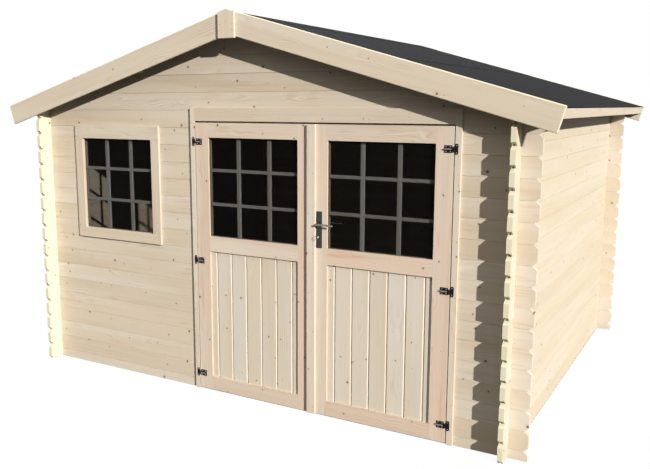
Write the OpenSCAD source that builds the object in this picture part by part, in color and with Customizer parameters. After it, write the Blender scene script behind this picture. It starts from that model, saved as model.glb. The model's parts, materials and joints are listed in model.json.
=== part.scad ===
// Garden shed of interlocked logs with a felted gable roof, a window and a pair of glazed doors.
// X runs to the right, the front faces -Y, Z is up, and the origin is on the ground under the middle.

/* [Logs] */
// Height of one course of logs
course_h = 114; // [108:1:120]
// Thickness of a log
log_t = 28; // [26:1:34]
// Length that a log runs past the wall that it crosses
log_end = 108; // [90:1:140]
// Depth of the corner cuts on the end of a log
end_cut_d = 24; // [12:1:30]
// Height of the corner cuts on the end of a log
end_cut_h = 20; // [12:1:26]
// Height of the top log of a side wall on its outer face
top_log_h = 120; // [114:1:126]
// Height of the tongue on top of a log
tongue_h = 10; // [6:0.5:12]
// Width of the tongue on top of a log
tongue_w = 11; // [8:0.5:12]
// Bevel on the long edges of a log
edge_cut = 1.5; // [1:0.5:3]

/* [Walls] */
// Width over the outer faces of the side walls
wall_w = 3490; // [3430:10:3700]
// Depth over the outer faces of the front and back walls
wall_d = 2870; // [2400:10:3200]
// Number of courses in a side wall
side_courses = 17; // [17:1:18]

/* [Roof] */
// Pitch of the roof in degrees
pitch = 16; // [14:0.2:18]
// Thickness of the roof boards
deck_t = 19; // [15:1:24]
// Thickness of the roofing felt
felt_t = 4; // [3:0.5:6]
// Level reach of the roof boards past a side wall
eaves_reach = 210; // [190:5:260]
// Space between the log ends and a barge board
barge_gap = 10; // [3:1:20]
// Height of a front barge board
barge_h = 140; // [110:1:160]
// Thickness of a barge board
barge_t = 18; // [15:1:24]
// Height of a front barge board's top edge over the felt
barge_rise = 11; // [4:1:20]
// Height of a back barge board
back_barge_h = 125; // [110:1:160]
// Height of a back barge board's top edge over the felt
back_barge_rise = 4; // [3:1:20]
// Length of a barge board past the face of the eaves board
barge_end = 5; // [2:1:10]
// Width of the cover board over the barge joint
cover_w = 120; // [90:2:140]
// Height of the cover board at its point
cover_h = 170; // [150:5:220]
// Thickness of the cover board
cover_t = 18; // [15:1:24]
// Height of an eaves board
eaves_h = 53; // [45:1:80]
// Thickness of an eaves board
eaves_t = 18; // [15:1:24]
// Width of a purlin or the ridge beam
beam_w = 44; // [36:1:60]
// Height of a purlin or the ridge beam
beam_h = 78; // [70:1:110]
// Distance of a purlin from the ridge line
purlin_x = 813; // [700:1:900]

/* [Window] */
// Distance of the window's middle from the ridge line
window_x = 1062; // [1040:1:1080]
// Width of the window's clear opening
window_w = 638; // [560:1:650]
// Height of the window's clear opening
window_h = 643; // [560:1:650]
// Height of the clear opening's lower edge over the ground
window_sill_z = 1038; // [1030:1:1060]
// Width of the window's frame
sash_w = 36; // [30:1:40]
// Depth of the window's frame from the outer wall face
sash_d = 30; // [28:1:60]
// Depth of the window's pane behind the outer wall face
pane_set = 5; // [4:1:12]
// Width of the casing boards at the sides and below
casing_w = 72; // [60:1:76]
// Width of the casing board over the window
casing_top_w = 93; // [60:1:100]
// Thickness of a casing board
casing_t = 17; // [14:1:22]

/* [Door frame] */
// Distance of the doorway's middle from the ridge line
door_x = 518; // [500:1:550]
// Width of the doorway between the jambs
door_w = 1759; // [1700:1:1780]
// Width of a jamb's face
jamb_w = 35; // [34:1:50]
// Stand of the jamb's face in front of the logs
jamb_proud = 17; // [14:1:20]
// Depth of the slot in a jamb that holds the log ends
jamb_slot = 18; // [15:1:22]
// Height of the head between the leaves and the logs over it
head_h = 68; // [60:1:80]
// Lap of the head and jambs over the logs above the doorway
head_lap = 16; // [8:1:20]
// Width of the stop behind the leaves
stop_w = 20; // [16:1:24]
// Thickness of the stop behind the leaves
stop_t = 20; // [16:1:24]

/* [Door leaves] */
// Thickness of a leaf
leaf_t = 40; // [36:1:44]
// Gap between the leaves and the jambs
leaf_gap = 6; // [5.5:0.5:8]
// Gap between the leaves and the head
head_gap = 10; // [6:0.5:12]
// Gap between the two leaves
meeting_gap = 8; // [7:0.5:10]
// Gap between a leaf and the ground
ground_gap = 10; // [8:1:16]
// Width of the stiles on the hinge side
stile_w = 102; // [90:1:110]
// Width of the left leaf's stile at the meeting line
left_meeting_w = 65; // [60:1:80]
// Width of the right leaf's stile at the meeting line
right_meeting_w = 132; // [125:1:140]
// Height of the bottom rail
bottom_rail_h = 93; // [80:1:110]
// Height of the middle rail
middle_rail_h = 101; // [80:1:110]
// Height of the top rail
top_rail_h = 95; // [80:1:110]
// Height of the middle rail's lower edge over the ground
middle_rail_z = 964; // [900:1:1000]
// Depth of the groove that holds a panel or a pane
groove_d = 10; // [8:1:12]
// Thickness of a panel
panel_t = 16; // [14:1:18]
// Width of one board of a panel
board_w = 115; // [90:1:130]
// Depth of the V between two boards
board_v = 5.5; // [2:0.5:6]
// Thickness of a pane
glass_t = 4; // [3:0.5:6]
// Width of the strip that covers the meeting line
strip_w = 58; // [48:1:60]
// Thickness of the strip that covers the meeting line
strip_t = 18; // [14:1:22]

/* [Hinges] */
// Width of the hinge plate on a leaf
leaf_plate_w = 44; // [36:1:50]
// Height of the hinge plate on a leaf
leaf_plate_h = 40; // [36:1:50]
// Width of the hinge plate on a jamb
frame_plate_w = 18; // [14:1:22]
// Height of the hinge plate on a jamb
frame_plate_h = 59; // [50:1:66]
// Thickness of the hinge plates
plate_t = 3; // [2:0.5:4]
// Radius of a hinge pin
pin_r = 3; // [2.5:0.5:4]
// Radius of a hinge knuckle
knuckle_r = 5.5; // [5:0.5:6]
// Height of the knuckle on a leaf
eye_h = 10; // [8:1:14]
// Height of each of the two knuckles on a jamb
lug_h = 8; // [6:1:12]
// Radius of the rod that joins a leaf's plate to its knuckle
rod_r = 4; // [3:0.5:4.5]
// Stand of the hinge pin in front of the leaf
pin_proud = 8; // [7.5:0.5:10]
// Height of the lowest hinge over the ground
hinge_low_z = 116; // [100:1:160]
// Height of the middle hinge over the ground
hinge_middle_z = 897; // [860:1:940]
// Height of the top hinge over the ground
hinge_top_z = 1681; // [1640:1:1700]

/* [Handle] */
// Width of a handle plate
handle_plate_w = 39; // [34:1:44]
// Height of a handle plate
handle_plate_h = 222; // [200:1:240]
// Thickness of a handle plate
handle_plate_t = 3; // [2:0.5:5]
// Height of the handle plate's lower edge over the ground
handle_plate_z = 1065; // [1060:1:1080]
// Height of the lever over the plate's lower edge
lever_rise = 146; // [120:1:160]
// Length of the lever
lever_len = 115; // [100:1:140]
// Radius of the lever's bar
lever_r = 5.5; // [5:0.5:7]
// Stand of the lever in front of its plate
lever_proud = 37; // [32:1:50]
// Radius of the lever's hub
hub_r = 9; // [8:0.5:12]
// Radius of the spindle between the two levers
spindle_r = 4.5; // [4:0.5:6]
// Height of the key over the plate's lower edge
key_rise = 68; // [50:1:80]
// Radius of the key's stem
key_r = 3; // [2.5:0.5:3.5]
// Length of the key in front of its plate
key_len = 40; // [36:1:50]
// Outer radius of the key's bow
bow_r = 13; // [11:1:16]
// Thickness of the key's bow
bow_t = 3.5; // [3:0.5:6]

/* [Hidden] */
$fn = 48;

// Run of a cut past the surface that it opens
overrun = 5;
// Space left between pieces that seat on each other
seat = 0.4;
// Space left round a pin or a spindle in its bore
bore_gap = 0.4;

// Logs
log_top = course_h - seat;
groove_w = tongue_w + 2*seat;
quarter_h = course_h/4;
front_run = wall_w + 2*log_end;
side_run = wall_d + 2*log_end;
side_axis = (wall_w - log_t)/2;
front_axis = (wall_d - log_t)/2;

// Roof lines: the underside of the boards starts on the outer top edge of the side walls
wall_top = (side_courses - 1)*course_h + top_log_h;
top_rise = log_t*tan(pitch);
ridge_z = wall_top + wall_w/2*tan(pitch);
gable_reach = log_end + barge_gap;
deck_y = wall_d/2 + gable_reach;
deck_run = (wall_w/2 + eaves_reach)/cos(pitch);
eaves_s = deck_run + seat;
felt_run = eaves_s + eaves_t;
barge_run = felt_run + barge_end;
barge_top = deck_t + felt_t + barge_rise;
back_barge_top = deck_t + felt_t + back_barge_rise;
felt_n = deck_t + seat;
deck_n = seat;
gable_courses = ceil((ridge_z - (side_courses - 1/2)*course_h)/course_h);
// Least height of a gable log's tip past a purlin
tip_min = 12;

// Courses of the front wall round its openings
window_x0 = -window_x - window_w/2;
window_x1 = -window_x + window_w/2;
window_z1 = window_sill_z + window_h;
cut_z0 = window_sill_z - sash_w - seat;
cut_z1 = window_z1 + sash_w + seat;
sill_course = floor(cut_z0/course_h + 1/2);
lintel_course = floor(cut_z1/course_h + 1/2);
door_top = (side_courses - 1/2)*course_h;
door_x0 = door_x - door_w/2;
door_x1 = door_x + door_w/2;
log_stop_left = door_x0 - jamb_w + jamb_slot - seat;
log_stop_right = door_x1 + jamb_w - jamb_slot + seat;

// Door leaves
front_y = -wall_d/2;
leaf_y0 = front_y - jamb_proud;
leaf_y1 = leaf_y0 + leaf_t;
leaf_z1 = door_top - head_h - head_gap;
stop_y0 = leaf_y1 + leaf_gap;
stop_y1 = stop_y0 + stop_t;
strip_x0 = door_x - strip_w/2;
strip_x1 = door_x + strip_w/2;
left_leaf_x0 = door_x0 + leaf_gap;
left_leaf_x1 = strip_x0 - meeting_gap;
right_leaf_x0 = strip_x0;
right_leaf_x1 = door_x1 - leaf_gap;
middle_rail_z1 = middle_rail_z + middle_rail_h;
groove_t = panel_t + 2*seat;
groove_y = leaf_y0 + leaf_t/2;
board_half_share = 0.5;

// Hinges
left_pin_x = door_x0 + leaf_gap/2;
right_pin_x = door_x1 - leaf_gap/2;
pin_y = leaf_y0 - pin_proud;
hinge_levels = [hinge_low_z, hinge_middle_z, hinge_top_z];
pin_h = eye_h + 2*lug_h + 2*seat;
leaf_plate_inset = knuckle_r + leaf_gap;

// Handle
handle_x = strip_x1 + seat + handle_plate_w/2;
lever_z = handle_plate_z + lever_rise;
key_z = handle_plate_z + key_rise;
plate_y0 = leaf_y0 - seat - handle_plate_t;
plate_y1 = leaf_y1 + seat + handle_plate_t;

log_colour = "BurlyWood";
trim_colour = "NavajoWhite";
door_colour = "Tan";
felt_colour = "DimGray";
glass_colour = "LightSteelBlue";
iron_colour = "DarkSlateGray";
steel_colour = "Silver";

// Height of the roof boards' underside over a place on the X axis
function roof_z(x) = ridge_z - abs(x)*tan(pitch);

// Section across a log: tongue on top, groove below, bevelled edges
module log_section() {
    half = log_t/2;
    polygon([
        [-half + edge_cut, 0], [-groove_w/2, 0], [-groove_w/2, tongue_h],
        [groove_w/2, tongue_h], [groove_w/2, 0], [half - edge_cut, 0],
        [half, edge_cut], [half, log_top - edge_cut], [half - edge_cut, log_top],
        [tongue_w/2, log_top], [tongue_w/2, log_top + tongue_h],
        [-tongue_w/2, log_top + tongue_h], [-tongue_w/2, log_top],
        [-half + edge_cut, log_top], [-half, log_top - edge_cut], [-half, edge_cut]
    ]);
}

// Section across the top log of a side wall, plain above for the roof boards
module top_log_section() {
    half = log_t/2;
    polygon([
        [-half + edge_cut, 0], [-groove_w/2, 0], [-groove_w/2, tongue_h],
        [groove_w/2, tongue_h], [groove_w/2, 0], [half - edge_cut, 0],
        [half, edge_cut], [half, top_log_h + top_rise], [-half, top_log_h + top_rise], [-half, edge_cut]
    ]);
}

// Side view of a log, with the corner cuts on both ends and the tongue between the crossed walls
module log_outline(run, top) {
    reach = run/2;
    tongue_reach = reach - log_end;
    polygon([
        [-reach + end_cut_d, 0], [reach - end_cut_d, 0], [reach, end_cut_h],
        [reach, top - end_cut_h], [reach - end_cut_d, top],
        [tongue_reach, top], [tongue_reach, top + tongue_h],
        [-tongue_reach, top + tongue_h], [-tongue_reach, top],
        [-reach + end_cut_d, top], [-reach, top - end_cut_h], [-reach, end_cut_h]
    ]);
}

// Notches above and below a log where it crosses another wall
module corner_notch() {
    notch_w = log_t + 2*seat;
    translate([-notch_w/2, -log_t, -overrun])
        cube([notch_w, 2*log_t, overrun + quarter_h + seat/2]);
    translate([-notch_w/2, -log_t, course_h - quarter_h - seat/2])
        cube([notch_w, 2*log_t, top_log_h + top_rise]);
}

// One log along X with its lower edge at zero, notched at both crossings
module log_bar(run, crossing, top_log = false) {
    difference() {
        intersection() {
            rotate([90, 0, 90])
                linear_extrude(run, center = true)
                    if (top_log) top_log_section(); else log_section();
            rotate([90, 0, 0])
                linear_extrude(2*log_t, center = true)
                    log_outline(run, top_log ? top_log_h + top_rise : log_top);
        }
        for (side = [-1, 1])
            translate([side*crossing, 0, 0])
                corner_notch();
    }
}

// Space under the roof boards, from the ground up
module under_roof() {
    reach = front_run;
    rotate([90, 0, 0])
        linear_extrude(2*deck_y, center = true)
            polygon([
                [-reach, 0], [reach, 0], [reach, roof_z(reach)], [0, ridge_z], [-reach, roof_z(reach)]
            ]);
}

// Log of the front wall, lowest log half a course high
module front_log(course) {
    intersection() {
        translate([0, -front_axis, (course - 1/2)*course_h])
            log_bar(front_run, side_axis);
        under_roof();
    }
}

// Front logs from one course to another between two places on the X axis
module front_logs(first, last, x0, x1) {
    for (course = [first:last])
        intersection() {
            front_log(course);
            translate([x0, -wall_d, 0])
                cube([x1 - x0, wall_d, ridge_z]);
        }
}

// Opening in the logs for the window's frame
module window_cut() {
    cut_w = window_w + 2*sash_w + 2*seat;
    translate([-window_x - cut_w/2, -wall_d, cut_z0])
        cube([cut_w, wall_d, cut_z1 - cut_z0]);
}

module front_wall_below_window() {
    color(log_colour)
        difference() {
            front_logs(0, sill_course, -front_run/2, log_stop_left);
            window_cut();
        }
}

module front_wall_left() {
    color(log_colour)
        front_logs(sill_course + 1, lintel_course - 1, -front_run/2, window_x0 - sash_w - seat);
}

module front_wall_middle() {
    color(log_colour)
        front_logs(sill_course + 1, lintel_course - 1, window_x1 + sash_w + seat, log_stop_left);
}

module front_wall_over_window() {
    color(log_colour)
        difference() {
            front_logs(lintel_course, side_courses - 1, -front_run/2, log_stop_left);
            window_cut();
        }
}

module front_wall_right() {
    color(log_colour)
        front_logs(0, side_courses - 1, log_stop_right, front_run/2);
}

// Slot in the gable logs for a beam, run outwards where the tip left past the beam would be too thin
module beam_slot(x, course) {
    slot_w = beam_w + 2*seat;
    outer_x = abs(x) + slot_w/2;
    tip_h = roof_z(outer_x) - (course - 1/2)*course_h;
    outer_run = x != 0 && tip_h < tip_min ? front_run : slot_w/2;
    mirror([x < 0 ? 1 : 0, 0, 0])
        translate([abs(x) - slot_w/2, -wall_d, roof_z(abs(x) + beam_w/2) - beam_h - seat])
            cube([slot_w/2 + outer_run, 2*wall_d, 2*beam_h]);
}

module gable_logs() {
    for (course = [side_courses:side_courses + gable_courses - 1])
        difference() {
            front_log(course);
            for (x = [-purlin_x, 0, purlin_x])
                beam_slot(x, course);
        }
}

module front_gable() {
    color(log_colour)
        gable_logs();
}

module back_wall() {
    color(log_colour)
        rotate(180)
            for (course = [0:side_courses - 1])
                front_log(course);
}

module back_gable() {
    color(log_colour)
        rotate(180)
            gable_logs();
}

// Logs of the right side wall, the top one bevelled to the roof
module side_logs() {
    for (course = [0:side_courses - 1])
        intersection() {
            translate([side_axis, 0, course*course_h])
                rotate(90)
                    log_bar(side_run, front_axis, course == side_courses - 1);
            under_roof();
        }
}

module right_wall() {
    color(log_colour)
        side_logs();
}

module left_wall() {
    color(log_colour)
        rotate(180)
            side_logs();
}

// Beam from barge to barge with its top bevelled to the roof
module beam(x) {
    intersection() {
        translate([x - beam_w/2, -deck_y + seat, roof_z(abs(x) + beam_w/2) - beam_h])
            cube([beam_w, 2*(deck_y - seat), 2*beam_h]);
        under_roof();
    }
}

module ridge_beam() {
    color(trim_colour)
        beam(0);
}

module left_purlin() {
    color(trim_colour)
        beam(-purlin_x);
}

module right_purlin() {
    color(trim_colour)
        beam(purlin_x);
}

// Places its children on the right roof slope: X down the slope from the ridge, Z off the boards' underside
module on_slope() {
    translate([0, 0, ridge_z])
        rotate([0, pitch, 0])
            children();
}

// Half of the world to the right of the ridge plane
module right_half() {
    reach = front_run;
    translate([seat/2, -reach, -reach])
        cube([2*reach, 2*reach, 3*reach]);
}

// Layer of the right roof slope, mitred on the ridge line
module slope_layer(run, bottom, thick) {
    intersection() {
        on_slope()
            translate([-run, -deck_y, bottom])
                cube([2*run, 2*deck_y, thick]);
        right_half();
    }
}

module roof_deck_right() {
    color(trim_colour)
        slope_layer(deck_run, deck_n, deck_t - seat);
}

module roof_deck_left() {
    color(trim_colour)
        mirror([1, 0, 0])
            slope_layer(deck_run, deck_n, deck_t - seat);
}

module roof_felt_right() {
    color(felt_colour)
        slope_layer(felt_run, felt_n, felt_t);
}

module roof_felt_left() {
    color(felt_colour)
        mirror([1, 0, 0])
            slope_layer(felt_run, felt_n, felt_t);
}

// Barge board on the right slope at the front, plumb cut on the ridge line and square cut below
module barge(top, height) {
    intersection() {
        on_slope()
            translate([-barge_run, -deck_y - seat - barge_t, top - height])
                cube([2*barge_run, barge_t, height]);
        right_half();
    }
}

module front_barge_right() {
    color(trim_colour)
        barge(barge_top, barge_h);
}

module front_barge_left() {
    color(trim_colour)
        mirror([1, 0, 0])
            barge(barge_top, barge_h);
}

module back_barge_right() {
    color(trim_colour)
        mirror([0, 1, 0])
            barge(back_barge_top, back_barge_h);
}

module back_barge_left() {
    color(trim_colour)
        rotate(180)
            barge(back_barge_top, back_barge_h);
}

// Board with a pointed top over the joint of two barge boards at the front
module ridge_cover(top) {
    point_z = ridge_z + top/cos(pitch);
    half = cover_w/2;
    shoulder_z = point_z - half*tan(pitch);
    translate([0, -deck_y - 2*seat - barge_t, 0])
        rotate([90, 0, 0])
            linear_extrude(cover_t)
                polygon([
                    [-half, point_z - cover_h], [half, point_z - cover_h], [half, shoulder_z],
                    [0, point_z], [-half, shoulder_z]
                ]);
}

module front_ridge_cover() {
    color(trim_colour)
        ridge_cover(barge_top);
}

module back_ridge_cover() {
    color(trim_colour)
        rotate(180)
            ridge_cover(back_barge_top);
}

// Board along the lower ends of the roof boards on the right slope
module eaves_board() {
    on_slope()
        translate([eaves_s, -deck_y, deck_t - eaves_h])
            cube([eaves_t, 2*deck_y, eaves_h]);
}

module right_eaves_board() {
    color(trim_colour)
        eaves_board();
}

module left_eaves_board() {
    color(trim_colour)
        rotate(180)
            eaves_board();
}

// Four boards round the window on the outer wall face
module window_casing() {
    outer_w = window_w + 2*casing_w;
    y0 = front_y - seat - casing_t;
    color(trim_colour) {
        translate([-window_x - outer_w/2, y0, window_z1])
            cube([outer_w, casing_t, casing_top_w]);
        translate([-window_x - outer_w/2, y0, window_sill_z - casing_w])
            cube([outer_w, casing_t, casing_w]);
        for (x = [window_x0 - casing_w, window_x1])
            translate([x, y0, window_sill_z + seat])
                cube([casing_w, casing_t, window_h - 2*seat]);
    }
}

// Frame in the wall's opening, with a groove for the pane
module window_frame() {
    color(trim_colour)
        translate([-window_x, front_y, window_sill_z + window_h/2])
            difference() {
                translate([-window_w/2 - sash_w, 0, -window_h/2 - sash_w])
                    cube([window_w + 2*sash_w, sash_d, window_h + 2*sash_w]);
                translate([-window_w/2, -overrun, -window_h/2])
                    cube([window_w, sash_d + 2*overrun, window_h]);
                translate([-window_w/2 - groove_d, pane_set - seat, -window_h/2 - groove_d])
                    cube([window_w + 2*groove_d, glass_t + 2*seat, window_h + 2*groove_d]);
            }
}

module window_glass() {
    pane_w = window_w + 2*groove_d - 2*seat;
    pane_h = window_h + 2*groove_d - 2*seat;
    color(glass_colour)
        translate([-window_x - pane_w/2, front_y + pane_set, window_sill_z + window_h/2 - pane_h/2])
            cube([pane_w, glass_t, pane_h]);
}

// Section of the left jamb seen from above, its inner edge at zero: log slot outside, stop inside
module jamb_section() {
    slot_y0 = front_y - seat;
    slot_y1 = front_y + log_t + seat;
    polygon([
        [0, leaf_y0], [0, stop_y0], [stop_w, stop_y0], [stop_w, stop_y1], [-jamb_w, stop_y1],
        [-jamb_w, slot_y1], [-jamb_w + jamb_slot, slot_y1], [-jamb_w + jamb_slot, slot_y0],
        [-jamb_w, slot_y0], [-jamb_w, leaf_y0]
    ]);
}

// Jamb from the ground to the logs over the doorway, which sit in a notch in its top
module jamb() {
    difference() {
        linear_extrude(door_top + head_lap)
            jamb_section();
        translate([-2*jamb_w, front_y - seat, door_top - seat])
            cube([3*jamb_w, log_t + 2*seat, head_lap + overrun]);
    }
}

module left_jamb() {
    color(trim_colour)
        translate([door_x0, 0, 0])
            jamb();
}

module right_jamb() {
    color(trim_colour)
        translate([door_x1, 0, 0])
            mirror([1, 0, 0])
                jamb();
}

// Head between the jambs, with a slot for the log over it and a stop behind the leaves
module door_head() {
    head_z0 = leaf_z1 + head_gap;
    slot_y0 = front_y - seat;
    slot_y1 = front_y + log_t + seat;
    color(trim_colour)
        difference() {
            translate([door_x0 + seat, 0, 0])
                rotate([90, 0, 90])
                    linear_extrude(door_w - 2*seat)
                        polygon([
                            [leaf_y0, head_z0], [stop_y0, head_z0], [stop_y0, head_z0 - stop_w],
                            [stop_y1, head_z0 - stop_w], [stop_y1, door_top + head_lap],
                            [slot_y1, door_top + head_lap], [slot_y1, door_top - seat],
                            [slot_y0, door_top - seat], [slot_y0, door_top + head_lap],
                            [leaf_y0, door_top + head_lap]
                        ]);
            for (x = [door_x0 - overrun, door_x1 - stop_w - seat])
                translate([x, stop_y0 - seat, head_z0 - 2*stop_w])
                    cube([stop_w + seat + overrun, stop_t + overrun, 2*stop_w + door_top - head_z0 + 2*head_lap]);
        }
}

// Plate with round ends, pin and two knuckles, screwed to a jamb: the pin stands at the origin
module frame_hinge() {
    plate_x = -leaf_gap/2 - frame_plate_w/2;
    round_z = frame_plate_h/2 - frame_plate_w/2;
    cylinder(h = pin_h, r = pin_r, center = true);
    for (side = [-1, 1]) {
        lug_z = side*(eye_h/2 + seat + lug_h/2);
        translate([0, 0, lug_z])
            cylinder(h = lug_h, r = knuckle_r, center = true);
        translate([plate_x, 0, lug_z - lug_h/2])
            cube([-plate_x, pin_proud - seat, lug_h]);
    }
    translate([plate_x, pin_proud - seat, 0])
        rotate([90, 0, 0]) {
            translate([-frame_plate_w/2, -round_z, 0])
                cube([frame_plate_w, 2*round_z, plate_t]);
            for (side = [-1, 1])
                translate([0, side*round_z, 0])
                    cylinder(h = plate_t, r = frame_plate_w/2);
        }
}

module frame_hinges() {
    for (z = hinge_levels)
        translate([0, pin_y, z])
            frame_hinge();
}

module left_frame_hinges() {
    color(iron_colour)
        translate([left_pin_x, 0, 0])
            frame_hinges();
}

module right_frame_hinges() {
    color(iron_colour)
        translate([right_pin_x, 0, 0])
            mirror([1, 0, 0])
                frame_hinges();
}

// Plate on a leaf with a rod that ends in the knuckle round the pin at the origin
module leaf_hinge() {
    difference() {
        union() {
            cylinder(h = eye_h, r = knuckle_r, center = true);
            rotate([0, 90, 0])
                cylinder(h = leaf_plate_inset + leaf_plate_w, r = rod_r);
            translate([leaf_plate_inset, pin_proud - seat - plate_t, -leaf_plate_h/2])
                cube([leaf_plate_w, plate_t, leaf_plate_h]);
            translate([leaf_plate_inset, 0, -rod_r])
                cube([leaf_plate_w, pin_proud - seat, 2*rod_r]);
        }
        cylinder(h = eye_h + 2*overrun, r = pin_r + bore_gap, center = true);
    }
}

module leaf_hinges() {
    for (z = hinge_levels)
        translate([0, pin_y, z])
            leaf_hinge();
}

module left_leaf_hinges() {
    color(iron_colour)
        translate([left_pin_x, 0, 0])
            leaf_hinges();
}

module right_leaf_hinges() {
    color(iron_colour)
        translate([right_pin_x, 0, 0])
            mirror([1, 0, 0])
                leaf_hinges();
}

// Upright of a leaf with grooves along the edges named by sides: -1 left, 1 right
module stile(x0, width, groove_side) {
    difference() {
        translate([x0, leaf_y0, ground_gap])
            cube([width, leaf_t, leaf_z1 - ground_gap]);
        translate([
            groove_side > 0 ? x0 + width - groove_d : x0 - overrun,
            groove_y - groove_t/2, ground_gap - overrun
        ])
            cube([groove_d + overrun, groove_t, leaf_z1 - ground_gap + 2*overrun]);
    }
}

// Cross piece of a leaf between two stiles, tenoned into their grooves, grooved below and above
module rail(x0, x1, z0, height, groove_below, groove_above) {
    difference() {
        union() {
            translate([x0 + seat, leaf_y0, z0])
                cube([x1 - x0 - 2*seat, leaf_t, height]);
            translate([x0 - groove_d + seat, groove_y - panel_t/2, z0])
                cube([x1 - x0 + 2*groove_d - 2*seat, panel_t, height]);
        }
        if (groove_below)
            translate([x0 - leaf_t, groove_y - groove_t/2, z0 - overrun])
                cube([x1 - x0 + 2*leaf_t, groove_t, groove_d + overrun]);
        if (groove_above)
            translate([x0 - leaf_t, groove_y - groove_t/2, z0 + height - groove_d])
                cube([x1 - x0 + 2*leaf_t, groove_t, groove_d + overrun]);
    }
}

// Three rails of a leaf between the inner edges of its stiles
module rails(x0, x1) {
    rail(x0, x1, ground_gap, bottom_rail_h, false, true);
    rail(x0, x1, middle_rail_z, middle_rail_h, true, true);
    rail(x0, x1, leaf_z1 - top_rail_h, top_rail_h, true, false);
}

module left_door_frame() {
    color(door_colour) {
        stile(left_leaf_x0, stile_w, 1);
        stile(left_leaf_x1 - left_meeting_w, left_meeting_w, -1);
        rails(left_leaf_x0 + stile_w, left_leaf_x1 - left_meeting_w);
    }
}

// Bore through a leaf from front to back
module leaf_bore(x, z, radius) {
    translate([x, leaf_y0 - overrun, z])
        rotate([-90, 0, 0])
            cylinder(h = leaf_t + 2*overrun, r = radius);
}

module right_door_frame() {
    color(door_colour)
        difference() {
            union() {
                stile(right_leaf_x0, right_meeting_w, 1);
                stile(right_leaf_x1 - stile_w, stile_w, -1);
                rails(right_leaf_x0 + right_meeting_w, right_leaf_x1 - stile_w);
            }
            leaf_bore(handle_x, lever_z, spindle_r + 2*bore_gap);
            leaf_bore(handle_x, key_z, key_r + bore_gap);
        }
}

// Upright boards of a panel as one plate with a V between boards, whole boards about its middle
module board_panel(x0, x1) {
    width = x1 - x0 + 2*groove_d - 2*seat;
    z0 = ground_gap + bottom_rail_h - groove_d + seat;
    z1 = middle_rail_z + groove_d - seat;
    joints = floor((width/2 - board_v)/board_w - board_half_share) + 1;
    places = [for (j = [-joints:joints - 1]) (j + board_half_share)*board_w];
    front = [for (x = places, step = [-1, 0, 1]) [x + step*board_v, step == 0 ? board_v : 0]];
    back = [for (p = front) [-p[0], panel_t - p[1]]];
    translate([(x0 + x1)/2, groove_y - panel_t/2, z0])
        linear_extrude(z1 - z0)
            polygon(concat(
                [[-width/2, 0]], front, [[width/2, 0], [width/2, panel_t]], back, [[-width/2, panel_t]]
            ));
}

module left_door_panel() {
    color(door_colour)
        board_panel(left_leaf_x0 + stile_w, left_leaf_x1 - left_meeting_w);
}

module right_door_panel() {
    color(door_colour)
        board_panel(right_leaf_x0 + right_meeting_w, right_leaf_x1 - stile_w);
}

// Pane in the grooves of a leaf's upper part
module pane(x0, x1) {
    z0 = middle_rail_z1 - groove_d + seat;
    z1 = leaf_z1 - top_rail_h + groove_d - seat;
    translate([x0 - groove_d + seat, groove_y - glass_t/2, z0])
        cube([x1 - x0 + 2*groove_d - 2*seat, glass_t, z1 - z0]);
}

module left_door_glass() {
    color(glass_colour)
        pane(left_leaf_x0 + stile_w, left_leaf_x1 - left_meeting_w);
}

module right_door_glass() {
    color(glass_colour)
        pane(right_leaf_x0 + right_meeting_w, right_leaf_x1 - stile_w);
}

module meeting_strip() {
    color(trim_colour)
        translate([strip_x0, leaf_y0 - seat - strip_t, ground_gap])
            cube([strip_w, strip_t, leaf_z1 - ground_gap]);
}

// Plates on both faces of the right leaf, bored for the spindle and the key
module handle_plates() {
    color(iron_colour)
        for (y = [plate_y0, plate_y1 - handle_plate_t])
            difference() {
                translate([handle_x - handle_plate_w/2, y, handle_plate_z])
                    cube([handle_plate_w, handle_plate_t, handle_plate_h]);
                translate([handle_x, y - overrun, lever_z])
                    rotate([-90, 0, 0])
                        cylinder(h = handle_plate_t + 2*overrun, r = spindle_r + bore_gap);
                translate([handle_x, y - overrun, key_z])
                    rotate([-90, 0, 0])
                        cylinder(h = handle_plate_t + 2*overrun, r = key_r + bore_gap);
            }
}

// Bar of a lever from its hub along X, with a round end
module lever_bar() {
    rotate([0, 90, 0])
        cylinder(h = lever_len - lever_r, r = lever_r);
    translate([lever_len - lever_r, 0, 0])
        sphere(r = lever_r);
    sphere(r = lever_r);
}

// Two levers on one spindle through the right leaf
module lever_handle() {
    y0 = plate_y0 - lever_proud;
    y1 = plate_y1 + lever_proud;
    color(steel_colour)
        translate([handle_x, 0, lever_z]) {
            translate([0, y0, 0])
                rotate([-90, 0, 0])
                    cylinder(h = y1 - y0, r = spindle_r);
            translate([0, y0, 0])
                rotate([-90, 0, 0])
                    cylinder(h = lever_proud - seat, r1 = lever_r, r2 = hub_r);
            translate([0, plate_y1 + seat, 0])
                rotate([-90, 0, 0])
                    cylinder(h = lever_proud - seat, r1 = hub_r, r2 = lever_r);
            for (y = [y0, y1])
                translate([0, y, 0])
                    lever_bar();
        }
}

// Key in the lock, its bow upright and square to the door
module key() {
    bow_y = plate_y0 - key_len + bow_r;
    color(steel_colour)
        translate([handle_x, 0, key_z]) {
            translate([0, bow_y + bow_r - bow_t/2, 0])
                rotate([-90, 0, 0])
                    cylinder(h = leaf_y0 + leaf_t/2 - bow_y - bow_r, r = key_r);
            translate([0, bow_y, 0])
                rotate([0, 90, 0])
                    rotate_extrude()
                        translate([bow_r - bow_t/2, 0])
                            circle(r = bow_t/2);
        }
}

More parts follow.
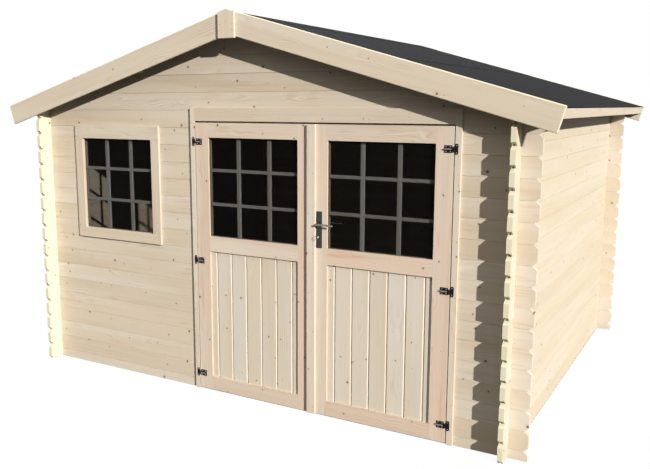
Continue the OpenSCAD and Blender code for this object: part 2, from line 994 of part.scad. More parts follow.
front_wall_below_window();
front_wall_left();
front_wall_middle();
front_wall_over_window();
front_wall_right();
front_gable();
back_wall();
back_gable();
left_wall();
right_wall();
ridge_beam();
left_purlin();
right_purlin();
roof_deck_left();
roof_deck_right();
roof_felt_left();
roof_felt_right();
front_barge_left();
front_barge_right();
back_barge_left();
back_barge_right();
front_ridge_cover();
back_ridge_cover();
left_eaves_board();
right_eaves_board();
window_casing();
window_frame();
window_glass();
left_jamb();
right_jamb();
door_head();
left_frame_hinges();
right_frame_hinges();
left_door_frame();
left_door_panel();
left_door_glass();
left_leaf_hinges();
right_door_frame();
right_door_panel();
right_door_glass();
right_leaf_hinges();
meeting_strip();
handle_plates();
lever_handle();
key();
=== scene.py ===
import json
import math
import random

import bmesh
import bpy
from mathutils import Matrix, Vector


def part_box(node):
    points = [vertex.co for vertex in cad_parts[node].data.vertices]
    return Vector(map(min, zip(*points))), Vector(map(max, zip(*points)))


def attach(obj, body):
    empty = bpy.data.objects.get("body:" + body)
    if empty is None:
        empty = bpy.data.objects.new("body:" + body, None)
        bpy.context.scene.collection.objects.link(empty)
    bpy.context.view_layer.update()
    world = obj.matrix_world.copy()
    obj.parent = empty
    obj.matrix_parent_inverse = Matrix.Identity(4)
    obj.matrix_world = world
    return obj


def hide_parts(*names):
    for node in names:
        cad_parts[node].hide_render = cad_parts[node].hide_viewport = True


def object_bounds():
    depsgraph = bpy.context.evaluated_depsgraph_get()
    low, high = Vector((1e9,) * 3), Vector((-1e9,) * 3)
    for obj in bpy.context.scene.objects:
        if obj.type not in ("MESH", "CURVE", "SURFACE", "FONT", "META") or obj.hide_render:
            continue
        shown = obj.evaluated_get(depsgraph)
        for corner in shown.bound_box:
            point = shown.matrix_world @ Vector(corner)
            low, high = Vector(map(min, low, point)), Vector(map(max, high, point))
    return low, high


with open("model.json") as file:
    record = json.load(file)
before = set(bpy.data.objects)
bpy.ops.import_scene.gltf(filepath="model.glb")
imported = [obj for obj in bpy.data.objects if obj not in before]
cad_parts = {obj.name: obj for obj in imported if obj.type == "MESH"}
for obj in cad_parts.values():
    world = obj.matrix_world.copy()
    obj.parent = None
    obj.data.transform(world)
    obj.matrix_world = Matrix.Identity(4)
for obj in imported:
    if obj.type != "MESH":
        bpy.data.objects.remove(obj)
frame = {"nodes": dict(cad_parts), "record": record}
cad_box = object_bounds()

# Garden shed of interlocked pine logs. Lengths are in metres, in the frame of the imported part.
MM = 0.001
# The doors and the window face the front
FRONT = Vector((0, -1, 0))

# Camera, fitted to the picture of 650 by 469 pixels
PICTURE_W = 650
PICTURE_H = 469
FOCAL_PX = 755.1
OPTIC_AXIS_PX = (304.25, 228.93)
CAMERA_PLACE = (2.7424, -5.3616, 1.9096)
CAMERA_TURN = math.radians(30.24)
CAMERA_DIP = math.radians(9.26)
SENSOR_W = 36.0

# Lamps, by direction, strength and spread: a low sun from the front right, a soft fill from the back left
LAMPS = {
    "sun": ((0.81, -0.487, 0.31), 4.75, math.radians(0.9)),
    "fill": ((-0.66, 0.48, 0.58), 2.4, math.radians(12)),
}
LAMP_BOUNCES = 1

# Sky that is brightest overhead, and a pale floor that glows less indoors, as painted shade inside the walls
WHITE = (1.0, 1.0, 1.0, 1.0)
BACKDROP = 1.0
SKY_LOW = 0.05
SKY_HIGH = 0.87
FLOOR_COLOUR = (0.05, 0.05, 0.05, 1.0)
FLOOR_GLOW = 0.95
INDOOR_PAINTED_SHADE_GLOW = 0.10
FLOOR_REACH = 40.0
FLOOR_DROP = 1*MM

# Finishes of planed pine: three tones, share of knots, strength of the figure and of the reddish streaks
WOODS = {
    "log_wood": {
        "Pale": (0.770, 0.672, 0.545, 1.0), "Warm": (0.716, 0.600, 0.445, 1.0),
        "Deep": (0.570, 0.455, 0.315, 1.0), "Knot Share": 0.62, "Figure": 0.90, "Blush": 0.45,
    },
    # Darker copy of the log wood for the side walls: painted shade that holds back the stronger sun on them
    "side_log_wood": {
        "Pale": (0.720, 0.622, 0.480, 1.0), "Warm": (0.680, 0.575, 0.410, 1.0),
        "Deep": (0.550, 0.445, 0.310, 1.0), "Knot Share": 0.62, "Figure": 0.60, "Blush": 0.30,
    },
    "trim_wood": {
        "Pale": (0.780, 0.688, 0.555, 1.0), "Warm": (0.760, 0.640, 0.490, 1.0),
        "Deep": (0.600, 0.475, 0.335, 1.0), "Knot Share": 0.40, "Figure": 0.80, "Blush": 0.30,
    },
    "roof_wood": {
        "Pale": (0.700, 0.590, 0.440, 1.0), "Warm": (0.690, 0.555, 0.400, 1.0),
        "Deep": (0.520, 0.400, 0.270, 1.0), "Knot Share": 0.60, "Figure": 1.0, "Blush": 0.40,
    },
    "door_wood": {
        "Pale": (0.775, 0.675, 0.535, 1.0), "Warm": (0.785, 0.605, 0.465, 1.0),
        "Deep": (0.610, 0.455, 0.325, 1.0), "Knot Share": 0.60, "Figure": 0.90, "Blush": 0.80,
    },
    "panel_wood": {
        "Pale": (0.740, 0.665, 0.555, 1.0), "Warm": (0.735, 0.630, 0.480, 1.0),
        "Deep": (0.590, 0.475, 0.345, 1.0), "Knot Share": 0.75, "Figure": 0.70, "Blush": 0.15,
    },
    "bar_wood": {
        "Pale": (0.800, 0.775, 0.710, 1.0), "Warm": (0.780, 0.730, 0.645, 1.0),
        "Deep": (0.620, 0.550, 0.450, 1.0), "Knot Share": 0.20, "Figure": 0.60, "Blush": 0.0,
    },
}
KNOT_COLOUR = (0.150, 0.085, 0.042, 1.0)
BLUSH_COLOUR = (0.690, 0.440, 0.290, 1.0)
# Painted highlight: a pale yellowish white laid on the sunlit edges of barge boards and on the stubs of the
# side walls' logs
PAINTED_HIGHLIGHT_COLOUR = (0.800, 0.730, 0.515, 1.0)
WOOD_SPECULAR = 0.25
WOOD_ROUGHNESS = 0.68
LATE_POLISH = 0.14
WOOD_BUMP = 0.25
WOOD_RELIEF = 0.6*MM
RELIEF_SHARE = 0.5

# Knots and pin knots: cell along and across the board, radii, and how far over the radius their edges blend
KNOT_CELL = (0.36, 0.105, 1.0)
KNOT_RADII = (3.8*MM, 8.5*MM)
KNOT_SCATTER = 0.95
KNOT_WOBBLE = 3*MM
KNOT_WOBBLE_WAVES = 260.0
PIN_CELL = (0.21, 0.062, 1.0)
PIN_RADII = (1.3*MM, 3.2*MM)
PIN_SHIFT = (3.7, 0.04, 0.0)
PIN_SHARE = 0.6
CORE_EDGE = (1.15, 0.75)
HALO_EDGE = (3.4, 0.9)
SPECK_EDGE = (1.3, 0.7)

# Growth rings: spacing, waves and bends of the pith line, swell round a knot, and stretches of a ring
RING_SPACING = 6.5*MM
SLOW_WAVES = (0.6, 7.0, 7.0)
SLOW_BEND = 0.07
QUICK_WAVES = (5.0, 9.0, 9.0)
QUICK_BEND = 0.03
DEEP_BEND_SHARE = 0.6
KNOT_SWELL = 10*MM
RIPPLE_WAVES = 21.0
RIPPLE = 3*MM
LATE_POWER = 3.0
LATE_END = (1.0, 0.9)
EARLY_START = (0.05, 0.25)
EARLY_END = (0.55, 0.3)

# Masks along the boards: waves a metre, detail, roughness, and the values of the noise where they set in
WOOD_MASKS = {
    "clear rings": ((4.2, 11.0, 11.0), 1.0, 0.5, (0.53, 0.68)),
    "streaks": ((1.1, 46.0, 46.0), 3.0, 0.6, (0.45, 0.75)),
    "bands": ((0.9, 15.0, 15.0), 1.0, 0.5, (0.50, 0.78)),
    "patches": ((0.7, 4.0, 4.0), 1.0, 0.5, (0.36, 0.64)),
    "warmth": ((0.45, 5.0, 5.0), 1.0, 0.5, (0.40, 0.62)),
    "blush": ((3.0, 30.0, 30.0), 2.0, 0.5, (0.60, 0.76)),
}
WARMTH_SHIFT = (7.0, 0.3, 0.0)
BLUSH_SHIFT = (2.0, 0.7, 0.0)
FIBRE_WAVES = (16.0, 700.0, 700.0)
NOISE_MIDDLE = 0.5

# Depth of tone that each mark adds, and cover of the colours laid over it
FAINT_RINGS = 0.06
CLEAR_RINGS = 0.64
EARLY_WOOD = -0.30
STREAKS = 0.26
BANDS = 0.24
PATCHES = 0.13
BOARD_TONE = 0.22
FIBRES = 0.24
END_GRAIN = -0.10
# Cover of the painted highlight
PAINTED_HIGHLIGHT_COVER = 0.9
HALO_COVER = 0.34
SPECK_COVER = 0.62
CORE_COVER = 0.92

# Where each board lies in the tree: along the grain, and across and through it from the pith
GRAIN_ALONG = (0, 60)
GRAIN_ACROSS = (-0.07, 0.07)
GRAIN_THROUGH = (0.03, 0.15)
# Pieces that are deeper or paler than their finish; log bevels deeper as painted shade in the joints, and
# log stubs past a crossed wall paler as painted bounced light
TONE_SHIFTS = {
    "front_gable": 1.1, "front_wall_over_window": 0.4, "front_wall_right": 0.9, "door_head": 1.6,
    "window_casing": 1.5, "meeting_strip": -0.3, "left_jamb": -0.2, "right_jamb": -0.3, "back_wall": -0.2,
    "front_barge_left": 1.0, "left_eaves_board": 0.8, "right_eaves_board": 1.2, "left_door_frame": 0.3,
    "right_door_frame": 0.5, "front_ridge_cover": -0.6,
}
BEVEL_PAINTED_SHADE = 1.3
STUB_PAINTED_LIGHT = -1.6

# Finishes of felt and metal: sizes and strengths of a speckle, least and greatest roughness, plain settings
SPECKLED = {
    "roof_felt": dict(
        dark=(0.010, 0.010, 0.011, 1.0), light=(0.021, 0.022, 0.024, 1.0), grit_size=2.2*MM, patch_size=0.35,
        grit=0.6, relief=0.5, roughness=(0.85, 0.97), plain={"Specular IOR Level": 0.05}),
    "black_iron": dict(
        dark=(0.007, 0.006, 0.006, 1.0), light=(0.018, 0.016, 0.015, 1.0), grit_size=0.6*MM, patch_size=0.03,
        grit=0.5, relief=0.25, roughness=(0.38, 0.55), plain={"Specular IOR Level": 0.08}),
    "handle_plate": dict(
        dark=(0.030, 0.038, 0.034, 1.0), light=(0.052, 0.062, 0.056, 1.0), grit_size=0.4*MM, patch_size=0.05,
        grit=0.4, relief=0.1, roughness=(0.32, 0.45), plain={"Metallic": 0.6}),
    "steel": dict(
        dark=(0.21, 0.205, 0.195, 1.0), light=(0.34, 0.335, 0.32, 1.0), grit_size=0.3*MM, patch_size=0.02,
        grit=0.3, relief=0.05, roughness=(0.22, 0.36), plain={"Metallic": 1.0}),
    "bright_steel": dict(
        dark=(0.36, 0.355, 0.345, 1.0), light=(0.52, 0.515, 0.50, 1.0), grit_size=0.3*MM, patch_size=0.02,
        grit=0.3, relief=0.05, roughness=(0.25, 0.4), plain={"Metallic": 1.0}),
    "nail_steel": dict(
        dark=(0.10, 0.095, 0.085, 1.0), light=(0.20, 0.19, 0.17, 1.0), grit_size=0.4*MM, patch_size=0.02,
        grit=0.4, relief=0.1, roughness=(0.35, 0.5), plain={"Metallic": 0.7}),
}
PATCH_RAMP = (0.3, 0.7, -0.1, 0.3)
POLISH_RANGE = (0.2, 0.8)

# Tinted glass
GLASS_COLOUR = (0.006, 0.006, 0.005, 1.0)
GLASS_ALPHA = 0.37
GLASS_IOR = 1.45
GLASS_SPECULAR = 0.02
SMEAR_WAVES = 9.0
SMEAR_RAMP = (0.3, 0.7, 0.02, 0.06)

# Rounding of edges, by finish and for single pieces
BOARD_EDGE = 2*MM
BEAM_EDGE = 3*MM
BARGE_EDGE = 5*MM
BAR_EDGE = 1*MM
PLATE_EDGE = 0.5*MM
EDGES = {
    "log_wood": 0.0, "panel_wood": 0.0, "trim_wood": BOARD_EDGE, "door_wood": BOARD_EDGE,
    "roof_wood": BEAM_EDGE,
}
ROUND_STEPS = 2
ROUND_PROFILE = 0.5

# How faces and edges of the solids are told apart
MERGE = 0.02*MM
FLAT_ANGLE = math.radians(0.3)
SHARP_ANGLE = math.radians(35)
SIDE_FACE_DOT = 0.3
END_GRAIN_DOT = 0.8
BEVEL_DOTS = (0.25, 0.97)
OUTWARD_DOT = 0.5
LENGTH_DIGITS = 5
AREA_DIGITS = 7
SIDE_WALLS = ("left_wall", "right_wall")

# Door panels: the solids' V grooves lie between the least and the most, and are drawn half as deep as wide
PANEL_BOARD = 115*MM
GROOVE_LEAST = 2*MM
GROOVE_MOST = 8*MM
GROOVE_DEPTH = 7*MM
SLIT_W = 1.8*MM
SLIT_DEPTH = 2.5*MM

# Window bars, with the slot of each pane's bars
BARRED_PANES = {"window_glass": "trim_wood", "left_door_glass": "door_wood", "right_door_glass": "door_wood"}
PANES = 3
PANE_LAP = 9.6*MM
BAR_UPRIGHT_W = 25*MM
BAR_LEVEL_W = 20*MM
BAR_D = 12*MM
BAR_STEP = 1*MM
BAR_GAP = 0.3*MM

# Roof boards, felt and tacks
DECK_BOARD = 91*MM
DECK_JOINT = 1.2*MM
FELT_SHEET = 2*MM
FELT_LAP_SHARE = 0.52
FELT_RIDGE_W = 160*MM
TACK_R = 5*MM
TACK_H = 1*MM
TACK_INSET = 25*MM
RIDGE_TACKS = 21
LAP_TACKS = 31
# Faces of a sheet by its eight corners, counted down the slope, then along it, then off it
SHEET_FACES = ((0, 1, 3, 2), (4, 6, 7, 5), (0, 4, 5, 1), (2, 3, 7, 6), (0, 2, 6, 4), (1, 5, 7, 3))

# Heads of fasteners: sides, and shares of the radius or the height
HEAD_SIDES = 12
RIM_SHARE = 0.8
CROSS_ARM_SHARE = 0.52
CROSS_HALF_SHARE = 0.16
CROSS_FLOOR_SHARE = 0.2

# Nails in the trim
NAIL_R = 2.6*MM
NAIL_H = 0.5*MM
NAIL_EDGE = 13*MM
STRIP_NAILS = 8
STRIP_NAIL_INSET = 45*MM
JAMB_NAILS = 6
JAMB_NAIL_EDGE = 10*MM
JAMB_NAIL_LOW = 240*MM
JAMB_NAIL_HIGH = 1800*MM
COVER_NAIL_FOOT = 45*MM
COVER_NAIL_TOP = 90*MM

# Hinges: screws on the plates, and sleeves on the rods, which lie a knuckle's radius behind the front
SCREW_R = 3.6*MM
SCREW_H = 1.2*MM
PLATE_LIFT = 3.4*MM
LEAF_SCREW_INSET = 9*MM
LEAF_SCREW_SPACE = 25*MM
LEAF_SCREW_RISE = 13*MM
JAMB_SCREW_INSET = 9*MM
JAMB_SCREW_RISE = 20*MM
KNUCKLE_R = 5.5*MM
SLEEVE_LENGTH = 41*MM
SLEEVE_R = 4.5*MM
SLEEVE_INSET = 1*MM
SLEEVE_SIDES = 8

# Places of the sockets on a Mix node for colours
MIX_SHARE = 0
MIX_FIRST = 6
MIX_SECOND = 7
MIX_RESULT = 2

record = frame["record"]
nodes = frame["nodes"]
slot_of = {part["node"]: part["material_slot"] for part in record["subparts"]}
body_of = {node: body for body, members in record["behaviour"]["bodies"].items() for node in members}

# Slope of the roof, from the solid that its boards stand for
deck_low, deck_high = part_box("roof_deck_right")
felt_low, felt_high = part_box("roof_felt_right")
slope_face = max(nodes["roof_deck_right"].data.polygons, key=lambda face: face.area)
pitch = math.atan2(abs(slope_face.normal.x), abs(slope_face.normal.z))


class Graph:
    """Adds and joins nodes in one tree."""

    def __init__(self, tree):
        self.tree = tree

    def add(self, kind, inputs=None, **settings):
        node = self.tree.nodes.new(kind)
        for name, value in settings.items():
            setattr(node, name, value)
        for name, value in (inputs or {}).items():
            self.feed(node.inputs[name], value)
        return node

    def feed(self, socket, value):
        if isinstance(value, bpy.types.NodeSocket):
            self.tree.links.new(value, socket)
        else:
            socket.default_value = value

    def fill(self, node, values):
        """Feeds a node's inputs in their order, and returns its outputs."""
        for socket, value in zip(node.inputs, values):
            self.feed(socket, value)
        return node.outputs

    def math(self, operation, *values):
        node = self.add("ShaderNodeMath", operation=operation)
        return self.fill(node, values)[0]

    def times(self, first, second):
        return self.math("MULTIPLY", first, second)

    def plus(self, base, value, share):
        """The base and a share of a value."""
        return self.math("ADD", base, self.times(value, share))

    def vector(self, operation, *values):
        node = self.add("ShaderNodeVectorMath", operation=operation)
        return self.fill(node, values)["Value" if operation == "LENGTH" else "Vector"]

    def place(self):
        """Object coordinates."""
        return self.add("ShaderNodeTexCoord").outputs["Object"]

    def triple(self, x=0.0, y=0.0, z=0.0):
        return self.add("ShaderNodeCombineXYZ", {"X": x, "Y": y, "Z": z}).outputs[0]

    def mix(self, share, first, second):
        node = self.add("ShaderNodeMix", data_type="RGBA")
        self.feed(node.inputs[MIX_SHARE], share)
        self.feed(node.inputs[MIX_FIRST], first)
        self.feed(node.inputs[MIX_SECOND], second)
        return node.outputs[MIX_RESULT]

    def ramp(self, value, low, high, to_low=0.0, to_high=1.0):
        node = self.add("ShaderNodeMapRange", interpolation_type="SMOOTHSTEP")
        return self.fill(node, (value, low, high, to_low, to_high))[0]

    def noise(self, place, waves, detail=2.0, rough=0.5):
        inputs = {"Vector": place, "Scale": waves, "Detail": detail, "Roughness": rough}
        return self.add("ShaderNodeTexNoise", inputs).outputs["Fac"]

    def long_noise(self, place, waves, detail=2.0, rough=0.5):
        """Noise with its own number of waves along each axis."""
        return self.noise(self.vector("MULTIPLY", place, waves), 1.0, detail, rough)

    def bump(self, height, strength, distance):
        inputs = {"Height": height, "Strength": strength, "Distance": distance}
        return self.add("ShaderNodeBump", inputs).outputs["Normal"]


def shader_group(name, inputs, outputs):
    """New shader node group with named sockets: returns its tree, graph, input node and output node."""
    tree = bpy.data.node_groups.new(name, "ShaderNodeTree")
    for label, kind, value in inputs:
        socket = tree.interface.new_socket(label, in_out="INPUT", socket_type="NodeSocket" + kind)
        if value is not None:
            socket.default_value = value
    for label, kind in outputs:
        tree.interface.new_socket(label, in_out="OUTPUT", socket_type="NodeSocket" + kind)
    graph = Graph(tree)
    return tree, graph, graph.add("NodeGroupInput"), graph.add("NodeGroupOutput")


def knot_layer(g, grain, cell, share, radii):
    """Round spots, one place a cell: returns the distance over the radius, and which are kept by chance."""
    in_cells = g.vector("DIVIDE", grain, cell)
    places = g.add("ShaderNodeTexVoronoi", {"Vector": in_cells, "Scale": 1.0, "Randomness": KNOT_SCATTER},
                   voronoi_dimensions="2D")
    flat = g.vector("MULTIPLY", in_cells, (1.0, 1.0, 0.0))
    away = g.vector("MULTIPLY", g.vector("SUBTRACT", flat, places.outputs["Position"]), cell)
    wobble = g.math("SUBTRACT", g.noise(grain, KNOT_WOBBLE_WAVES), NOISE_MIDDLE)
    distance = g.plus(g.vector("LENGTH", away), wobble, KNOT_WOBBLE)
    chance = g.add("ShaderNodeSeparateColor", {"Color": places.outputs["Color"]}).outputs
    kept = g.math("LESS_THAN", chance[0], share)
    least, most = radii
    radius = g.plus(least, g.math("POWER", chance[1], 2.0), most - least)
    return g.math("DIVIDE", distance, radius), kept


def ring_layer(g, grain, halo, spacing):
    """Late and early wood of rings about a pith line off the board, bent by waves and round the knots."""
    slow = g.math("SUBTRACT", g.long_noise(grain, SLOW_WAVES), NOISE_MIDDLE)
    quick = g.math("SUBTRACT", g.long_noise(grain, QUICK_WAVES, detail=1.0), NOISE_MIDDLE)
    bend = g.plus(g.times(slow, SLOW_BEND), quick, QUICK_BEND)
    spot = g.add("ShaderNodeSeparateXYZ", {"Vector": grain}).outputs
    across = g.math("ADD", spot["Y"], bend)
    deep = g.plus(spot["Z"], bend, DEEP_BEND_SHARE)
    radius = g.math("SQRT", g.plus(g.times(across, across), deep, deep))
    radius = g.plus(radius, halo, KNOT_SWELL)
    radius = g.plus(radius, g.noise(grain, RIPPLE_WAVES), RIPPLE)
    turn = g.math("FRACT", g.math("DIVIDE", radius, spacing))
    late = g.times(g.math("POWER", turn, LATE_POWER), g.ramp(turn, *LATE_END))
    early = g.times(g.ramp(turn, *EARLY_START), g.ramp(turn, *EARLY_END))
    return late, early


def wood_mask(g, grain, name):
    waves, detail, rough, limits = WOOD_MASKS[name]
    return g.ramp(g.long_noise(grain, waves, detail, rough), *limits)


def pine_group():
    """Growth rings, streaks, fibres and knots of planed pine, and a painted highlight where asked, from a
    board's own grain coordinates.
    """
    tree, g, given, out = shader_group(
        "planed_pine",
        [("Grain", "Vector", None), ("Tone", "Float", 0.5), ("End", "Float", 0.0), ("Painted Highlight", "Float", 0.0),
         ("Pale", "Color", WHITE), ("Warm", "Color", WHITE), ("Deep", "Color", WHITE),
         ("Knot", "Color", WHITE), ("Ring Spacing", "Float", RING_SPACING), ("Knot Share", "Float", 0.5),
         ("Figure", "Float", 1.0), ("Blush", "Float", 0.0)],
        [("Color", "Color"), ("Roughness", "Float"), ("Height", "Float")],
    )
    look = given.outputs
    grain = look["Grain"]
    share = g.times(look["Knot Share"], g.math("SUBTRACT", 1.0, look["End"]))
    knot, knot_kept = knot_layer(g, grain, KNOT_CELL, share, KNOT_RADII)
    pin_share = g.times(share, PIN_SHARE)
    pin, pin_kept = knot_layer(g, g.vector("ADD", grain, PIN_SHIFT), PIN_CELL, pin_share, PIN_RADII)
    core = g.times(knot_kept, g.ramp(knot, *CORE_EDGE))
    halo = g.times(knot_kept, g.ramp(knot, *HALO_EDGE))
    speck = g.times(pin_kept, g.ramp(pin, *SPECK_EDGE))
    late, early = ring_layer(g, grain, halo, look["Ring Spacing"])
    clear = wood_mask(g, grain, "clear rings")
    fibre = g.long_noise(grain, FIBRE_WAVES)

    # How deep the tone is at each place
    figure = g.times(late, g.plus(FAINT_RINGS, clear, CLEAR_RINGS))
    figure = g.plus(figure, wood_mask(g, grain, "streaks"), STREAKS)
    figure = g.plus(figure, g.times(early, clear), EARLY_WOOD)
    depth = g.times(figure, look["Figure"])
    depth = g.plus(depth, wood_mask(g, grain, "bands"), BANDS)
    depth = g.plus(depth, wood_mask(g, grain, "patches"), PATCHES)
    depth = g.plus(depth, look["Tone"], BOARD_TONE)
    depth = g.plus(depth, g.math("SUBTRACT", fibre, NOISE_MIDDLE), FIBRES)
    depth = g.plus(depth, look["End"], END_GRAIN)

    # The board's colour, and the marks that cover it
    warmth = wood_mask(g, g.vector("ADD", grain, WARMTH_SHIFT), "warmth")
    blush = wood_mask(g, g.vector("ADD", grain, BLUSH_SHIFT), "blush")
    colour = g.mix(depth, g.mix(warmth, look["Pale"], look["Warm"]), look["Deep"])
    covers = (
        (blush, look["Blush"], BLUSH_COLOUR),
        # Painted highlight, where the board's attribute asks for it
        (look["Painted Highlight"], PAINTED_HIGHLIGHT_COVER, PAINTED_HIGHLIGHT_COLOUR),
        (halo, HALO_COVER, look["Deep"]),
        (speck, SPECK_COVER, look["Knot"]),
        (core, CORE_COVER, look["Knot"]),
    )
    for mark, strength, tint in covers:
        colour = g.mix(g.times(mark, strength), colour, tint)
    g.feed(out.inputs["Color"], colour)
    g.feed(out.inputs["Roughness"], g.plus(WOOD_ROUGHNESS, late, -LATE_POLISH))
    relief = g.plus(g.times(late, RELIEF_SHARE), fibre, RELIEF_SHARE)
    g.feed(out.inputs["Height"], g.plus(relief, core, -RELIEF_SHARE))
    return tree


def speckle_group():
    """Two-tone mottling with a fine grit, for felt and metal."""
    tree, g, given, out = shader_group(
        "speckle",
        [("Vector", "Vector", None), ("Grit Size", "Float", 2*MM), ("Patch Size", "Float", 0.2),
         ("Dark", "Color", WHITE), ("Light", "Color", WHITE), ("Grit", "Float", 0.5)],
        [("Color", "Color"), ("Height", "Float"), ("Mask", "Float")],
    )
    look = given.outputs
    in_grit = g.vector("DIVIDE", look["Vector"], look["Grit Size"])
    grit = g.add("ShaderNodeTexVoronoi", {"Vector": in_grit, "Scale": 1.0}).outputs
    patch = g.noise(g.vector("DIVIDE", look["Vector"], look["Patch Size"]), 1.0, detail=3.0)
    value = g.add("ShaderNodeSeparateColor", {"Color": grit["Color"]}).outputs[0]
    share = g.plus(g.ramp(patch, *PATCH_RAMP), value, look["Grit"])
    g.feed(out.inputs["Color"], g.mix(share, look["Dark"], look["Light"]))
    g.feed(out.inputs["Height"], g.math("SUBTRACT", 1.0, grit["Distance"]))
    g.feed(out.inputs["Mask"], patch)
    return tree


def new_material(name):
    """Material with only an output node: returns it with its graph and output."""
    material = bpy.data.materials.new(name)
    material.use_nodes = True
    material.node_tree.nodes.clear()
    graph = Graph(material.node_tree)
    return material, graph, graph.add("ShaderNodeOutputMaterial")


def wood_material(name, pine):
    """Planed pine in the tones of one finish, from what is painted on the boards."""
    material, g, out = new_material("shed_" + name)
    values = {**WOODS[name], "Knot": KNOT_COLOUR, "Ring Spacing": RING_SPACING}
    values["Grain"] = g.add("ShaderNodeAttribute", attribute_name="grain").outputs["Vector"]
    # Tone also carries painted shade on log bevels and painted light on log stubs; the last attribute is a
    # painted highlight
    for socket, layer in (("Tone", "tone"), ("End", "end_grain"), ("Painted Highlight", "painted_highlight")):
        values[socket] = g.add("ShaderNodeAttribute", attribute_name=layer).outputs["Fac"]
    wood = g.add("ShaderNodeGroup", values, node_tree=pine).outputs
    shader = g.add("ShaderNodeBsdfPrincipled", {
        "Base Color": wood["Color"],
        "Roughness": wood["Roughness"],
        "Specular IOR Level": WOOD_SPECULAR,
        "Normal": g.bump(wood["Height"], WOOD_BUMP, WOOD_RELIEF),
    })
    g.feed(out.inputs["Surface"], shader.outputs[0])
    return material


def speckled_material(name, speckle, dark, light, grit_size, patch_size, grit, relief, roughness, plain):
    """Felt or metal with a speckle and the shader's plain settings."""
    material, g, out = new_material("shed_" + name)
    mottle = g.add("ShaderNodeGroup", {
        "Vector": g.place(),
        "Grit Size": grit_size, "Patch Size": patch_size, "Dark": dark, "Light": light, "Grit": grit,
    }, node_tree=speckle).outputs
    shader = g.add("ShaderNodeBsdfPrincipled", {
        **plain,
        "Base Color": mottle["Color"],
        "Roughness": g.ramp(mottle["Mask"], *POLISH_RANGE, *roughness),
        "Normal": g.bump(mottle["Height"], relief, grit_size),
    })
    g.feed(out.inputs["Surface"], shader.outputs[0])
    return material


def glass_material():
    """Tinted pane that lets light straight through."""
    material, g, out = new_material("shed_glass")
    smear = g.noise(g.place(), SMEAR_WAVES)
    shader = g.add("ShaderNodeBsdfPrincipled", {
        "Base Color": GLASS_COLOUR,
        "Alpha": GLASS_ALPHA,
        "IOR": GLASS_IOR,
        "Specular IOR Level": GLASS_SPECULAR,
        "Roughness": g.ramp(smear, *SMEAR_RAMP),
    })
    g.feed(out.inputs["Surface"], shader.outputs[0])
    return material


def linked(name, data):
    """New object in the scene, at the origin."""
    item = bpy.data.objects.new(name, data)
    bpy.context.scene.collection.objects.link(item)
    return item


def add_piece(name, mesh_data, body, material=None, stands_for=()):
    """Piece that rides on a body, with its finish and the CAD nodes that it stands for."""
    piece = linked(name, mesh_data)
    if material is not None:
        mesh_data.materials.clear()
        mesh_data.materials.append(material)
    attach(piece, body)
    if stands_for:
        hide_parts(*stands_for)


def as_data(mesh, name, smooth=False):
    """Mesh data from a bmesh, shaded smooth between its sharp edges where asked."""
    data = bpy.data.meshes.new(name)
    mesh.to_mesh(data)
    mesh.free()
    if smooth:
        data.shade_smooth()
        data.set_sharp_from_angle(angle=SHARP_ANGLE)
    return data


def merged_copy(node):
    """Closed bmesh of a CAD node with its flat faces in one piece."""
    mesh = bmesh.new()
    mesh.from_mesh(nodes[node].data)
    bmesh.ops.remove_doubles(mesh, verts=mesh.verts, dist=MERGE)
    bmesh.ops.dissolve_limit(mesh, angle_limit=FLAT_ANGLE, verts=mesh.verts, edges=mesh.edges)
    mesh.normal_update()
    return mesh


def islands(mesh):
    """Faces of each separate solid in a bmesh."""
    seen = set()
    found = []
    for start in mesh.faces:
        if start in seen:
            continue
        seen.add(start)
        stack = [start]
        group = []
        while stack:
            face = stack.pop()
            group.append(face)
            for edge in face.edges:
                for other in edge.link_faces:
                    if other not in seen:
                        seen.add(other)
                        stack.append(other)
        found.append(group)
    return found


def box_round(points):
    """Low and high corner of the box round some points."""
    low = Vector([min(point[i] for point in points) for i in range(3)])
    high = Vector([max(point[i] for point in points) for i in range(3)])
    return low, high


def solid_boxes(node):
    """Box of each separate solid of a CAD node."""
    mesh = merged_copy(node)
    boxes = [box_round([vert.co for face in faces for vert in face.verts]) for faces in islands(mesh)]
    mesh.free()
    return boxes


def bevel(mesh, edges, width, steps):
    return bmesh.ops.bevel(mesh, geom=edges, offset=width, offset_type="OFFSET", segments=steps,
                           profile=ROUND_PROFILE, affect="EDGES", clamp_overlap=True)


def round_edges(mesh, width):
    """Rounds every sharp edge by this width."""
    sharp = [edge for edge in mesh.edges if edge.is_manifold and edge.calc_face_angle() > SHARP_ANGLE]
    bevel(mesh, sharp, width, ROUND_STEPS)
    mesh.normal_update()


def cut_faces(mesh, place, normal):
    """Cuts the faces of a bmesh along a plane and keeps both sides."""
    everything = list(mesh.verts) + list(mesh.edges) + list(mesh.faces)
    bmesh.ops.bisect_plane(mesh, geom=everything, plane_co=place, plane_no=normal, dist=MERGE)


def crossed_wall(node):
    """Axis and distance of the outer faces of the walls that this wall's logs cross, or nothing."""
    if node.startswith(("front_wall", "back_wall")):
        return 0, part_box("right_wall")[1].x
    if node in SIDE_WALLS:
        return 1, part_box("back_wall")[1].y
    return None


def cut_stubs(mesh, node):
    """Cuts the faces of a wall's logs where they pass the walls that they cross."""
    axis, reach = crossed_wall(node)
    for side in (-1, 1):
        normal = Vector((0, 0, 0))
        normal[axis] = side
        cut_faces(mesh, normal*reach, normal)
    mesh.normal_update()


def positive(direction):
    """The same direction with its largest part positive."""
    largest = max(direction, key=abs)
    return direction if largest > 0 else -direction


def board_axes(faces):
    """Directions along, across and through a board: its longest edge and its widest long face."""
    edges = [edge for face in faces for edge in face.edges]
    longest = max(edges, key=lambda edge: round(edge.calc_length(), LENGTH_DIGITS))
    along = positive((longest.verts[0].co - longest.verts[1].co).normalized())
    sides = [face for face in faces if abs(face.normal.dot(along)) < SIDE_FACE_DOT]
    widest = max(sides, key=lambda face: round(face.calc_area(), AREA_DIGITS))
    through = positive((widest.normal - widest.normal.dot(along)*along).normalized())
    return along, through.cross(along), through


